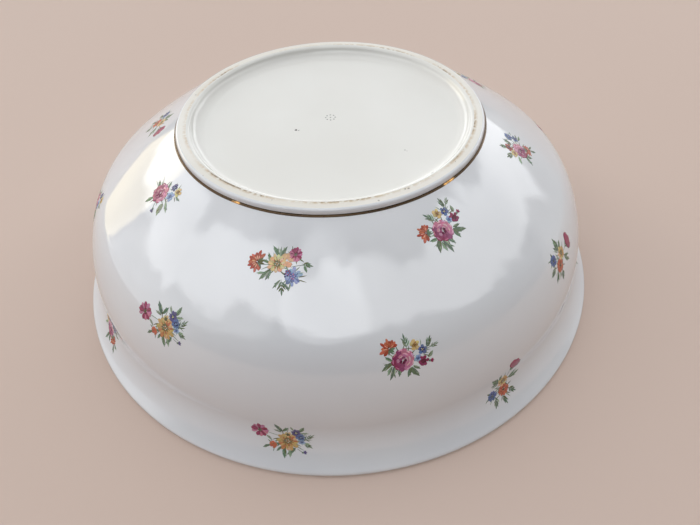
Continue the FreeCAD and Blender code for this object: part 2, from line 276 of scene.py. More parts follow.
def bumped(tree, shader, height, distance):
    bump = addNode(tree, "ShaderNodeBump", {"Height": height, "Distance": distance, "Strength": 1.0})
    tree.links.new(bump.outputs[0], shader.inputs["Normal"])


glazeLook = {
    # slow is how many slow waves go in a metre, share is the part of the cells that hold a speck
    "wall": {"white": (0.905, 0.912, 0.925), "shade": (0.885, 0.893, 0.91), "slow": 26.0, "share": 0.0,
             "ior": 1.85},
    "base": {"white": (0.925, 0.922, 0.905), "shade": (0.91, 0.905, 0.885), "slow": 34.0, "share": 0.0008,
             "ior": 1.6},
    "inside": {"white": (0.925, 0.93, 0.938), "shade": (0.905, 0.91, 0.925), "slow": 24.0, "share": 0.0008,
               "ior": 1.85},
    "speck": (0.30, 0.27, 0.24),
    "roughness": (0.025, 0.055),
}


def glazeMaterial(name, look, surface):
    # clear gloss over white: the body's tint drifts a little, the gloss has slow waves and fine orange peel
    material, tree, shader = newMaterial(name, IOR=look["ior"])
    fired = addNode(tree, "ShaderNodeGroup", {"Place": objectPlace(tree), "Slow Size": look["slow"],
                                              "Speck Share": look["share"]}, node_tree=surface)
    drift = ramp(tree, fired.outputs["Patches"], 0.35, 0.65)
    body = mixColours(tree, drift, paint(*look["shade"]), paint(*look["white"]))
    specks = times(tree, fired.outputs["Specks"], 0.7)
    tree.links.new(mixColours(tree, specks, body, paint(*glazeLook["speck"])), shader.inputs["Base Color"])
    gloss = ramp(tree, fired.outputs["Patches"], 0.3, 0.7, *glazeLook["roughness"])
    tree.links.new(gloss, shader.inputs["Roughness"])
    bumped(tree, shader, fired.outputs["Height"], relief["glaze"])
    return material


footLook = {
    "bare": (0.90, 0.885, 0.85), "pale": (0.945, 0.935, 0.91), "stain": (0.74, 0.62, 0.44),
    "grime": (0.36, 0.30, 0.25), "dirtRadius": 62.9 * mm, "stainWidth": 1.5 * mm, "grimeWidth": 0.5 * mm,
}


def bareFootMaterial(surface):
    # unglazed porcelain, ground smooth; a soft brown stain and dark grime lie in patches along the
    # inner edge of its face
    material, tree, shader = newMaterial("bareFoot", Roughness=0.45, Specular_IOR_Level=0.4)
    place = objectPlace(tree)
    fired = addNode(tree, "ShaderNodeGroup", {"Place": place, "Speck Size": 520.0, "Speck Share": 0.035},
                    node_tree=surface)
    colour = mixColours(tree, ramp(tree, fired.outputs["Patches"], 0.35, 0.7), paint(*footLook["bare"]),
                        paint(*footLook["pale"]))
    broken, fine = noise(tree, place, waves["stain"], 5.0), noise(tree, place, waves["grinding"], 3.0)
    beyond = maths(tree, "SUBTRACT", axisDistance(tree, place), footLook["dirtRadius"])
    away = maths(tree, "ABSOLUTE", beyond)
    for dirt, low, high, amount in (("stain", 0.30, 0.62, 0.75), ("grime", 0.50, 0.66, 0.8)):
        line = ramp(tree, away, footLook[dirt + "Width"], 0.0)
        caught = times(tree, ramp(tree, broken, low, high), ramp(tree, fine, 0.3, 0.6))
        covered = times(tree, times(tree, line, caught), amount)
        colour = mixColours(tree, covered, colour, paint(*footLook[dirt]))
    specks = times(tree, fired.outputs["Specks"], 0.6)
    tree.links.new(mixColours(tree, specks, colour, paint(*footLook["grime"])), shader.inputs["Base Color"])
    tree.links.new(ramp(tree, fine, 0.3, 0.7, 0.36, 0.56), shader.inputs["Roughness"])
    bumped(tree, shader, fine, relief["grinding"])
    return material


# the dark gold tone is a painted reflection of dark surroundings, the bright tone makes painted glints
goldLook = {"bright": (0.93, 0.72, 0.46), "paintedDarkReflection": (0.33, 0.27, 0.21), "glaze": (0.88, 0.86, 0.83)}


def goldMaterial():
    # gilding painted dark as a painted reflection of dark surroundings, with painted bright glints in short
    # stretches, and rubbed through to the glaze in a few
    material, tree, shader = newMaterial("goldWithPaintedGlints", IOR=1.5)
    place = objectPlace(tree)
    grain = noise(tree, place, waves["brushing"], 2.0)
    rubsAndGlints = noise(tree, place, waves["rubbingAndGlints"], 5.0, Roughness=0.6)
    uneven = maths(tree, "ADD", rubsAndGlints, times(tree, grain, 0.10))
    # painted dark reflection, with painted bright glints where the noise is high
    paintedGlintGold = mixColours(tree, ramp(tree, uneven, 0.64, 0.72), paint(*goldLook["paintedDarkReflection"]),
                       paint(*goldLook["bright"]))
    worn = ramp(tree, uneven, 0.34, 0.29)
    tree.links.new(mixColours(tree, worn, paintedGlintGold, paint(*goldLook["glaze"])), shader.inputs["Base Color"])
    tree.links.new(maths(tree, "SUBTRACT", 1.0, worn), shader.inputs["Metallic"])
    tree.links.new(ramp(tree, uneven, 0.5, 0.68, 0.30, 0.12), shader.inputs["Roughness"])
    bumped(tree, shader, grain, relief["brushing"])
    return material


def enamelMaterial(stroke):
    # on-glaze enamel: a little less glossy than the glaze that it is fired on
    material, tree, shader = newMaterial("sprayEnamel", IOR=1.5, Specular_IOR_Level=0.5)
    look = addNode(tree, "ShaderNodeGroup", node_tree=stroke)
    for socket, attribute, output in (("Stroke", "stroke", "Vector"), ("Root", "rootColour", "Color"),
                                      ("Tip", "tipColour", "Color")):
        read = addNode(tree, "ShaderNodeAttribute", attribute_name=attribute)
        tree.links.new(read.outputs[output], look.inputs[socket])
    tree.links.new(objectPlace(tree), look.inputs["Place"])
    tree.links.new(look.outputs["Color"], shader.inputs["Base Color"])
    tree.links.new(ramp(tree, look.outputs["Height"], 0.3, 1.2, 0.12, 0.26), shader.inputs["Roughness"])
    bumped(tree, shader, look.outputs["Height"], relief["print"])
    return material


# the darker and the lighter colour of each of the small finishes
mottled = {
    "print": ((0.46, 0.46, 0.45), (0.68, 0.68, 0.66)),
    "body": ((0.90, 0.88, 0.84), (0.94, 0.93, 0.90)),
    "iron": ((0.14, 0.13, 0.12), (0.32, 0.29, 0.27)),
}


def mottle(tree, shader, amount, finish):
    dark, light = (paint(*colour) for colour in mottled[finish])
    tree.links.new(mixColours(tree, amount, dark, light), shader.inputs["Base Color"])


def printMaterial():
    # thin grey underglaze print, patchy
    material, tree, shader = newMaterial("greyPrint", Roughness=0.12)
    clouds = noise(tree, objectPlace(tree), waves["markClouds"], 2.0)
    mottle(tree, shader, ramp(tree, clouds, 0.35, 0.65), "print")
    return material


def firedBodyMaterial(surface):
    # bare fired body, only seen where a coat stops
    material, tree, shader = newMaterial("firedBody", Roughness=0.55)
    fired = addNode(tree, "ShaderNodeGroup", {"Place": objectPlace(tree)}, node_tree=surface)
    mottle(tree, shader, fired.outputs["Patches"], "body")
    bumped(tree, shader, fired.outputs["Height"], relief["body"])
    return material


def floorMaterial():
    # plain matt paint, its tone drifts by a few percent
    material, tree, shader = newMaterial("floorPaint", Roughness=0.7, Specular_IOR_Level=0.2)
    base = paint(*studio["floor"])
    lighter = (*(c * studio["floorDrift"] for c in base[:3]), 1.0)
    clouds = noise(tree, objectPlace(tree), waves["floorClouds"], 2.0)
    tree.links.new(mixColours(tree, clouds, base, lighter), shader.inputs["Base Color"])
    return material


# the bowl's profile is a chain of tangent arcs in the half plane (distance from the axis, height), in metres
bowl = {
    "rimRadius": 130.0 * mm, "height": 81.8 * mm, "wall": 3.6 * mm, "glaze": 0.25 * mm, "floor": 4.6 * mm,
    "slopes": (28.5, 35.0, 57.5, 88.0, 37.5),     # degrees below horizontal at the arcs' ends, foot to lip
    "bendRadius": 28.0 * mm, "flareRadius": 24.0 * mm,
    "footRadius": 67.2 * mm, "footHeight": 2.4 * mm, "footRounding": 1.4 * mm, "footFillet": 1.0 * mm,
    "footFace": 2.9 * mm, "recess": 4.5 * mm, "recessRounding": 2.2 * mm, "recessCove": 6.0 * mm,
    "bareAngle": 9.0, "lipBareAngle": 20.0,       # how far round its rounding each bare face reaches
    "footSeat": 1.0 * mm, "footSeatWidth": 1.5 * mm, "footWear": 0.3 * mm,
    "goldStart": 66.0, "goldWidth": 0.45 * mm, "goldFilm": 0.06 * mm,
}
# how far each hand-made surface strays from its true one
stray = {"wall": 0.012 * mm, "base": 0.05 * mm, "foot": 0.02 * mm, "gold": 0.015 * mm}


def onArc(arc, slope, depth=0.0):
    # centre plus (radius less depth) along the outward normal (sin slope, cos slope)
    slope = np.asarray(slope, float)
    out = arc[2] - depth
    return np.stack([arc[0] + out * np.sin(slope), arc[1] + out * np.cos(slope)], -1)


def arcFrom(point, radius, slope):
    return point[0] - radius * math.sin(slope), point[1] - radius * math.cos(slope), radius


def solveProfile(b):
    # the shoulder's and the belly's radii follow from the other sizes, as in the CAD model
    foot, bend, belly, waist, lip = np.radians(b["slopes"])
    lipRadius = b["wall"] / 2
    lipArc = (b["rimRadius"] - lipRadius, lipRadius, lipRadius)
    filletMiddle = b["height"] - b["footHeight"] + b["footFillet"] * math.cos(foot)
    fillet = (b["footRadius"] + b["footFillet"], filletMiddle, -b["footFillet"])
    start, end = onArc(fillet, foot), onArc(lipArc, lip)
    across = [np.array([math.sin(q) - math.sin(p), math.cos(q) - math.cos(p)])
              for p, q in ((foot, bend), (bend, belly), (belly, waist), (waist, lip))]
    run = end - start - b["bendRadius"] * across[1] + b["flareRadius"] * across[3]
    shoulder, bellyRadius = np.linalg.solve(np.stack([across[0], across[2]], 1), run)
    wall, place = [], start
    for radius, p, q in ((shoulder, foot, bend), (b["bendRadius"], bend, belly),
                         (bellyRadius, belly, waist), (-b["flareRadius"], waist, lip)):
        arc = arcFrom(place, radius, p)
        wall.append((arc, p, q))
        place = onArc(arc, q)
    faceOuter = b["footRadius"] - b["footRounding"]
    faceInner = faceOuter - b["footFace"]
    recessSlope = math.acos(1 - b["recess"] / (b["recessRounding"] + b["recessCove"]))
    floorRadius = faceInner - (b["recessRounding"] + b["recessCove"]) * math.sin(recessSlope)
    recessFloor = b["height"] - b["recess"]
    insideFloor = recessFloor - b["glaze"] - b["floor"]
    insideStart = onArc(wall[1][0], bend, b["wall"])
    insideRadius = (insideFloor - insideStart[1]) / (1 - math.cos(bend))
    return {
        "wall": wall, "lip": lipArc, "fillet": fillet,
        "rounding": (faceOuter, b["height"] - b["footRounding"], b["footRounding"]),
        "innerRounding": (faceInner, b["height"] - b["recessRounding"], b["recessRounding"]),
        "cove": (floorRadius, recessFloor + b["recessCove"], -b["recessCove"]),
        "recessSlope": recessSlope, "inside": arcFrom(insideStart, insideRadius, bend),
    }


def stretchPoints(stretch, depth, step):
    # points along arcs at a depth, about one step apart
    rows = []
    for arc, start, end in stretch:
        count = max(2, int(abs((arc[2] - depth) * (end - start)) / step) + 1)
        rows.append(onArc(arc, np.linspace(start, end, count + 1), depth))
    joined = np.concatenate(rows)
    apart = np.r_[True, np.linalg.norm(np.diff(joined, axis=0), axis=1) > 1e-7]
    return joined[apart]


def meshObject(name, points, faces, material, body="root"):
    mesh = bpy.data.meshes.new(name)
    mesh.from_pydata(points.tolist(), [], faces)
    mesh.polygons.foreach_set("use_smooth", np.ones(len(mesh.polygons), bool))
    mesh.update()
    piece = bpy.data.objects.new(name, mesh)
    bpy.context.collection.objects.link(piece)
    mesh.materials.append(material)
    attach(piece, body)
    return piece


def ringFaces(rings, around, looped=False):
    # quads between rings of points that are numbered ring by ring; looped joins the last ring to the first
    i, j = np.meshgrid(np.arange(rings if looped else rings - 1), np.arange(around), indexing="ij")
    following, beside = (i + 1) % rings, (j + 1) % around
    corners = [i * around + j, following * around + j, following * around + beside, i * around + beside]
    return np.stack(corners, -1).reshape(-1, 4)


def poleFaces(rings, around):
    # triangles that close the first and the last ring at two poles, which are numbered after the rings
    near, beside = np.arange(around), (np.arange(around) + 1) % around
    last, pole = (rings - 1) * around, np.full(around, rings * around)
    first = np.stack([pole, near, beside], -1)
    return np.vstack([first, np.stack([pole + 1, last + beside, last + near], -1)])


def lathe(name, profile, turns, material, ripple=None):
    # surface of revolution: point(i, j) = (r_i cos a_j, r_i sin a_j, z_i) plus a ripple out and up;
    # a profile that starts and ends on the axis is closed by two poles, any other runs back to its start
    onAxis = profile[0, 0] < 1e-9
    rings = profile[1:-1] if onAxis else profile
    angles = np.linspace(0, 2 * math.pi, turns, endpoint=False)
    radii, heights = (np.repeat(rings[:, k:k + 1], turns, axis=1) for k in (0, 1))
    if ripple is not None:
        out, up = ripple(radii, heights, angles[None, :])
        radii, heights = radii + out, heights + up
    points = np.stack([radii * np.cos(angles), radii * np.sin(angles), heights], -1).reshape(-1, 3)
    faces = ringFaces(len(rings), turns, not onAxis).tolist()
    if onAxis:
        points = np.vstack([points, [[0, 0, profile[0, 1]], [0, 0, profile[-1, 1]]]])
        faces += poleFaces(len(rings), turns).tolist()
    return meshObject(name, points, faces, material)


# how many turns each lathed piece has, and the lengths of the steps along its profile
latheSteps = {"turns": 448, "plainTurns": 384, "floorRings": 70, "fine": 0.75 * mm, "edge": 0.12 * mm,
              "corner": 0.2 * mm, "covered": 0.5 * mm, "hidden": 4.0 * mm}


def handRipple(radii, heights, angles):
    # a hand-jiggered wall is a few hundredths of a millimetre out of round, in slow lobes
    lobes = np.sin(3 * angles + 0.7) + 0.6 * np.sin(5 * angles + 2.1 + 18 * heights)
    lobes = lobes + 0.5 * np.sin(8 * angles - 1.3 + 40 * heights)
    return stray["wall"] * lobes, np.zeros_like(radii)


def makeOuterGlaze(shape, material):
    bare, lipBare = math.radians(bowl["bareAngle"]), math.radians(bowl["lipBareAngle"])
    foot, lip = math.radians(bowl["slopes"][0]), math.radians(bowl["slopes"][-1])
    footEdge = [(shape["rounding"], bare, math.pi / 2), (shape["fillet"], math.pi / 2, foot)]
    lipEdge = [(shape["lip"], lip, math.pi - lipBare)]
    outside = np.vstack([stretchPoints(footEdge, 0, latheSteps["edge"]),
                         stretchPoints(shape["wall"], 0, latheSteps["fine"])[1:],
                         stretchPoints(lipEdge, 0, 2 * latheSteps["edge"])[1:]])
    under = stretchPoints(footEdge + shape["wall"] + lipEdge, bowl["glaze"], latheSteps["hidden"])[::-1]
    piece = lathe("outerGlaze", np.vstack([outside, under]), latheSteps["turns"], material, handRipple)
    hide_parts("outer_glaze")


def makeInnerGlaze(shape, material):
    lipBare, lip = math.radians(bowl["lipBareAngle"]), math.radians(bowl["slopes"][-1])
    lipEdge = [(shape["lip"], math.pi + lip, math.pi + lipBare)]
    cove = [(shape["inside"], 0.0, math.radians(bowl["slopes"][1]))]
    step = 2 * latheSteps["fine"]

    def surface(coat):
        # from the axis out along the floor, down the cove and the wall to the lip
        floorEdge = onArc(shape["inside"], 0.0, -coat)
        start = np.array([[floorEdge[0] * share, floorEdge[1]] for share in (0.0, 1 / 3, 2 / 3)])
        return np.vstack([start, stretchPoints(cove, -coat, step),
                          stretchPoints(shape["wall"][1:], bowl["wall"] - coat, step)[1:],
                          stretchPoints(lipEdge, coat, step / 4)[1:]])
    profile = np.vstack([surface(bowl["glaze"]), surface(0.0)[::-1]])
    piece = lathe("innerGlaze", profile, latheSteps["plainTurns"], material)
    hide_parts("inner_glaze")


def makeBaseGlaze(shape, material):
    bare = math.radians(bowl["bareAngle"])
    slope, rings = shape["recessSlope"], latheSteps["floorRings"]
    recess = [(shape["cove"], 0, -slope), (shape["innerRounding"], -slope, -bare)]

    def surface(depth, step, count):
        # from the axis out along the floor, then up the recess's side
        edge = stretchPoints(recess, depth, step)
        flat = np.linspace(0, edge[0, 0], count, endpoint=False)
        return np.vstack([np.stack([flat, np.full(count, edge[0, 1])], -1), edge])
    seen = surface(0.0, latheSteps["edge"] * 2, rings)
    under = surface(bowl["glaze"], latheSteps["hidden"], 4)[::-1]
    floorEdge = seen[rings, 0]

    def sag(radii, heights, angles):
        # the unsupported floor sags a little between the foot and the middle, and is not quite even
        inner = np.clip(1 - radii / floorEdge, 0, 1)
        return np.zeros_like(radii), stray["base"] * inner * np.sin(2 * angles + 14 * radii / floorEdge)
    piece = lathe("baseGlaze", np.vstack([seen, under]), latheSteps["plainTurns"], material, sag)
    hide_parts("base_glaze")


def makeFootRing(shape, material):
    bare, foot = math.radians(bowl["bareAngle"]), math.radians(bowl["slopes"][0])
    glaze, slope = bowl["glaze"], shape["recessSlope"]
    seatLevel = bowl["height"] - bowl["recess"] - glaze - bowl["footSeat"]
    shoulder = shape["wall"][0][0]
    seatSlope = math.acos((seatLevel - shoulder[1]) / (shoulder[2] - glaze))
    floorEdge = onArc(shape["cove"], 0, glaze)
    seatInner = floorEdge[0] - bowl["footSeatWidth"]
    inner = stretchPoints([(shape["cove"], 0, -slope), (shape["innerRounding"], -slope, -bare)],
                          glaze, latheSteps["covered"])
    face = stretchPoints([(shape["innerRounding"], -bare, 0), (shape["rounding"], 0, bare)], 0,
                         latheSteps["corner"])
    outer = stretchPoints([(shape["rounding"], bare, math.pi / 2), (shape["fillet"], math.pi / 2, foot),
                           (shoulder, foot, seatSlope)], glaze, latheSteps["covered"])
    corners = np.array([[seatInner, seatLevel], [seatInner, floorEdge[1]]])
    profile = np.vstack([corners, inner, face, outer])

    def worn(radii, heights, angles):
        # the ground face dips and rises by a few hundredths
        top = np.clip(1 - (bowl["height"] - heights) / bowl["footWear"], 0, 1)
        lobes = 1 + np.sin(4 * angles + 1.0) * np.sin(11 * angles)
        return np.zeros_like(radii), -stray["foot"] * top * lobes
    piece = lathe("footRing", profile, latheSteps["turns"], material, worn)
    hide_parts("foot_ring")


def makeGoldLine(shape, material):
    foot = math.radians(bowl["slopes"][0])
    shoulder = shape["wall"][0][0]
    band = [(shape["fillet"], math.radians(bowl["goldStart"]), foot),
            (shoulder, foot, foot + bowl["goldWidth"] / shoulder[2])]
    seen = stretchPoints(band, -bowl["goldFilm"], latheSteps["edge"])
    under = stretchPoints(band, bowl["goldFilm"] / 3, 4 * latheSteps["edge"])[::-1]

    def brushed(radii, heights, angles):
        # the line was laid on with a brush on a wheel, so its width wanders
        return stray["gold"] * np.sin(9 * angles) * np.sin(23 * angles + 1), np.zeros_like(heights)
    piece = lathe("goldFootLine", np.vstack([seen, under]), latheSteps["turns"], material, brushed)
    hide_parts("gold_foot_line")


colours = {
    "pale": (0.92, 0.74, 0.79), "pink": (0.81, 0.51, 0.62), "magenta": (0.62, 0.28, 0.44),
    "plum": (0.41, 0.12, 0.26), "orange": (0.80, 0.44, 0.33), "flame": (0.68, 0.29, 0.22),
    "peach": (0.91, 0.72, 0.58), "rust": (0.49, 0.24, 0.17), "yellow": (0.88, 0.79, 0.56),
    "gold": (0.80, 0.66, 0.42), "ochre": (0.63, 0.48, 0.29), "cream": (0.93, 0.87, 0.72),
    "blue": (0.42, 0.49, 0.67), "sky": (0.64, 0.72, 0.85), "navy": (0.21, 0.24, 0.41),
    "violet": (0.40, 0.36, 0.54), "crimson": (0.61, 0.22, 0.37), "wine": (0.38, 0.10, 0.19),
    "leaf": (0.41, 0.50, 0.40), "deep": (0.19, 0.27, 0.22), "sage": (0.58, 0.65, 0.55),
    "olive": (0.39, 0.41, 0.25), "brown": (0.33, 0.25, 0.18), "white": (0.90, 0.90, 0.86),
}
# how a stroke widens: its half-width is sin(pi u^skew)^power of the full one, u from root to tip
outlines = {"petal": (1.5, 0.6), "leaf": (0.8, 1.05), "dot": (1.0, 0.5), "stem": (1.0, 0.25),
            "curl": (1.0, 0.8)}
dice = np.random.default_rng(11)


def about(value, spread):
    # the value, up to one spread more or less
    return value + spread * (2 * dice.random() - 1)


def pick(names):
    return names[int(dice.integers(len(names)))] if isinstance(names, tuple) else names


def stroke(x, y, heading, length, width, root, tip, kind="petal", bend=0.0, layer=1.0):
    skew, power = outlines[kind]
    ends = [about(1, 0.14) * channel for name in (root, tip) for channel in paint(*colours[pick(name)])[:3]]
    return [x, y, math.radians(heading), length, width / 2, math.radians(bend), skew, power, layer,
            float(kind == "leaf"), *ends]


def polar(x, y, distance, heading):
    return x + distance * math.cos(math.radians(heading)), y + distance * math.sin(math.radians(heading))


def ring(x, y, size, petals, root, tip, inner=0.1, width=0.7, start=0.0, sweep=360.0, layer=1.0,
         ragged=0.14):
    # petals that stand round a middle; ragged is how far their lengths, widths and headings stray
    step = sweep / petals
    made = []
    for k in range(petals):
        heading = about(start + k * step, step * ragged)
        made.append(stroke(*polar(x, y, size * inner, heading), heading,
                           size * (1 - inner) * about(1, ragged), size * about(width, width * ragged),
                           root, tip, "petal", about(0, 110 * ragged), layer + 0.25 * (k % 2)))
    return made


def curls(x, y, size, turn, radius, middles, sweep, width, root, tip, layer):
    # crescents that follow a circle, the rolled edges and shadows of petals; radius and width are
    # shares of the flower's size
    radius, width = size * radius, size * width
    made = []
    for middle in middles:
        span = about(sweep, sweep * 0.2)
        start = about(turn + middle, 8) - span / 2
        made.append(stroke(*polar(x, y, about(radius, radius * 0.05), start), start + 90,
                           radius * math.radians(span), about(width, width * 0.2), root, tip, "curl",
                           span, layer))
    return made


def dots(x, y, spread, count, size, colour, layer, start=0.0):
    return [stroke(*polar(x - size / 2, y, about(spread, spread * 0.2), start + k * 360 / count), 0,
                   size, size, colour, colour, "dot", 0, layer) for k in range(count)]


def wisps(x, y, size, count, layer=0.3, root=("deep", "brown"), tip=("leaf", "olive", "sage")):
    # fine dark strokes that fill the gaps behind and round the blossoms
    made = []
    for k in range(count):
        heading = about(k * 360 / count, 180 / count)
        made.append(stroke(*polar(x, y, size * 0.55, heading), about(heading, 25),
                           about(size * 0.75, size * 0.3), about(0.42, 0.12), root, tip, "leaf",
                           about(0, 35), layer))
    return made


def rose(x, y, size, turn=0.0):
    # cabbage rose: ruffled guard petals, light towards its turn and dark behind, pale rolled edges and
    # a dark heart
    made = []
    for k in range(10):
        heading = about(turn + k * 36, 6)
        light = math.cos(math.radians(heading - turn))
        root = "plum" if light < 0 else "magenta"
        tip = "pink" if light > 0.2 else "magenta" if light > -0.6 else "crimson"
        made.append(stroke(*polar(x, y, size * 0.30, heading), heading, size * about(0.72, 0.05),
                           size * about(0.62, 0.08), root, tip, "petal", about(0, 20),
                           1.0 + 0.3 * (k % 2)))
    made += curls(x, y, size, turn, 0.86, (-70, -28, 14, 52, 96), 34, 0.15, "pink", "pale", 2.0)
    made += curls(x, y, size, turn, 0.80, (140, 185, 228), 40, 0.13, "magenta", "pink", 2.0)
    made += ring(x, y, size * 0.62, 7, ("plum", "wine"), ("magenta", "pink"), 0.2, 0.62, turn + 12, 360, 2.3)
    made += curls(x, y, size, turn, 0.60, (-50, 8, 66), 48, 0.14, "pink", "pale", 3.2)
    made += curls(x, y, size, turn, 0.56, (130, 190, 250), 46, 0.12, "plum", "magenta", 3.2)
    made += ring(x, y, size * 0.36, 5, "wine", ("plum", "magenta"), 0.1, 0.85, turn, 360, 3.5)
    made += curls(x, y, size, turn, 0.34, (20, 110), 80, 0.11, "magenta", "pale", 4.2)
    made += curls(x, y, size, turn, 0.20, (200, 300), 90, 0.10, "wine", "plum", 4.4)
    made += curls(x, y, size, turn, 0.12, (60,), 120, 0.09, "pink", "pale", 4.8)
    return made


def blossom(x, y, size, petals, root, tip, eye, turn=0.0, layer=2.0):
    # small open flower of separate petals, each with a darker line, round a speckled eye
    made = dots(x, y, 0, 1, size * 1.25, root, layer - 0.3)
    made += ring(x, y, size, petals, root, tip, 0.14, 0.74, turn, 360, layer, 0.18)
    made += ring(x, y, size * 0.6, petals, root, root, 0.2, 0.16, turn, 360, layer + 0.8, 0.1)
    made += dots(x, y, size * 0.14, 3, size * 0.22, eye, layer + 1.3, turn)
    made += dots(x, y, size * 0.30, 4, size * 0.10, ("white", "brown"), layer + 1.4, turn + 20)
    return made


def marigold(x, y, size, turn=0.0, tips=("peach", "yellow", "gold")):
    # many narrow petals in three rings round a green heart
    made = dots(x, y, 0, 1, size * 1.5, "ochre", 0.8)
    made += ring(x, y, size, 12, ("ochre", "orange", "gold"), tips, 0.3, 0.42, turn, 360, 1.0, 0.2)
    made += ring(x, y, size * 0.80, 10, ("ochre", "olive"), tips[1:], 0.25, 0.34, turn + 15, 360, 1.9, 0.2)
    made += ring(x, y, size * 0.62, 8, ("rust", "ochre"), ("orange", "gold"), 0.3, 0.14, turn, 360, 2.7, 0.2)
    made += ring(x, y, size * 0.40, 8, "deep", ("olive", "leaf"), 0.2, 0.34, turn, 360, 3.1)
    made += dots(x, y, size * 0.16, 5, size * 0.10, ("sage", "white"), 4.0, turn)
    made += dots(x, y, size * 0.34, 7, size * 0.08, ("brown", "yellow"), 4.0, turn)
    return made


def cosmos(x, y, size, root, tip, heart, turn=0.0, petals=6):
    # broad notched petals, each of two lobes
    line, middle = ("plum", "wine") if "pink" in tip else (root, "brown")
    made = []
    for k in range(petals):
        heading = about(turn + k * 360 / petals, 5)
        for side in (-1, 1):
            made.append(stroke(*polar(x, y, size * 0.12, heading), heading + side * 100 / petals,
                               size * about(0.86, 0.07), size * 0.44, root, tip, "petal", about(0, 12),
                               1.0 + 0.15 * (k % 2)))
        made.append(stroke(*polar(x, y, size * 0.2, heading), heading, size * about(0.66, 0.08),
                           size * 0.14, line, root, "curl", about(0, 15), 2.0))
    made += ring(x, y, size * 0.42, petals + 2, middle, root, 0.2, 0.26, turn, 360, 2.4)
    made += dots(x, y, size * 0.10, 4, size * 0.16, ("olive", "brown"), 3.2, turn)
    made += dots(x, y, size * 0.24, 7, size * 0.08, heart, 3.6, turn)
    return made


def cornflower(x, y, size, turn=0.0):
    made = dots(x, y, 0, 1, size * 1.2, "blue", 0.8)
    made += ring(x, y, size, 11, ("blue", "navy"), ("sky", "blue", "sky"), 0.24, 0.40, turn, 360, 1.0, 0.22)
    made += ring(x, y, size * 0.74, 9, ("navy", "violet"), ("blue", "sky"), 0.2, 0.26, turn + 20, 360,
                 1.9, 0.2)
    made += ring(x, y, size * 0.38, 6, "plum", ("crimson", "navy"), 0.2, 0.3, turn, 360, 2.8)
    made += dots(x, y, size * 0.22, 5, size * 0.12, ("sky", "pale"), 3.6, turn)
    return made


def halfDaisy(x, y, size, heading, sweep=230.0, petals=9):
    # seen from the side: separate petals fan out on one side, the green cup and stem are on the other
    first = heading - sweep / 2 + sweep / petals / 2
    made = ring(x, y, size * 0.8, petals - 1, "rust", "flame", 0.1, 0.48, first + 8, sweep, 0.9, 0.1)
    made += ring(x, y, size, petals, ("rust", "flame"), ("orange", "flame"), 0.16, 0.30, first, sweep,
                 1.3, 0.2)
    made += ring(x, y, size * 0.66, petals - 2, ("flame", "rust"), ("orange", "peach"), 0.2, 0.2,
                 first + 14, sweep * 0.85, 2.1, 0.2)
    made += dots(x, y, size * 0.12, 3, size * 0.16, ("rust", "brown"), 3.0)
    made += [stroke(x, y, heading + 180 + d, size * about(0.7, 0.1), size * 0.24, "deep",
                    ("leaf", "olive"), "leaf", about(0, 20), 2.0 + 0.1 * k)
             for k, d in enumerate((-46, -16, 14, 44))]
    return made


def bud(x, y, size, heading, root, tip):
    made = [stroke(*polar(x, y, size * 0.1, heading + d), heading + d, size * about(1.5, 0.15),
                   size * 0.6, root, tip, "petal", 0, 2.0 + 0.2 * k) for k, d in enumerate((-28, 28, 0))]
    made += [stroke(*polar(x, y, size * 0.5, heading + 180), heading + d, size, size * 0.26, "deep",
                    "leaf", "leaf", 0, 2.8) for d in (-30, 0, 30)]
    return made


def leaf(x, y, length, width, heading, bend=0.0, root="deep", tip="leaf"):
    # a pointed blade, a lighter half on one side of its midrib and two side teeth
    bend = about(bend, 12)
    heading, length = about(heading, 5), about(length, length * 0.08)
    made = [stroke(x, y, heading, length, width * 0.86, root, tip, "leaf", bend, 0.4)]
    made.append(stroke(*polar(x, y, width * 0.13, heading + 90), heading + 4, length * 0.8,
                       width * 0.34, tip, ("sage", "olive", tip), "leaf", bend, 0.9))
    for side, share in ((-1, 0.30), (1, 0.46)):
        made.append(stroke(*polar(x, y, length * share, heading + bend * share / 2), heading + side * 34,
                           length * 0.38, width * 0.32, root, (tip, "sage"), "leaf", -side * 20, 0.5))
    return made


def sprig(x, y, length, heading, pairs=2, width=1.0, root="deep", tip="leaf", spread=38.0):
    # a thin stem with pairs of narrow leaflets and one at its end
    made = [stroke(x, y, heading, length * 0.8, 0.22, root, tip, "stem", 0, 0.3)]
    for k in range(pairs + 1):
        at = polar(x, y, length * (0.18 + 0.52 * k / (pairs + 1)), heading)
        made += [stroke(*at, heading + side * about(spread, 9), length * about(0.46 - 0.05 * k, 0.05),
                        width * 0.62, root, (tip, "sage", "olive"), "leaf", -side * 16, 0.4)
                 for side in (-1, 1)]
    made.append(stroke(*polar(x, y, length * 0.6, heading), heading, length * 0.44, width * 0.7, root,
                       tip, "leaf", 0, 0.5))
    return made


def stem(x, y, length, heading, bend=0.0):
    return [stroke(x, y, heading, length, 0.26, "deep", "leaf", "stem", bend, 0.2)]


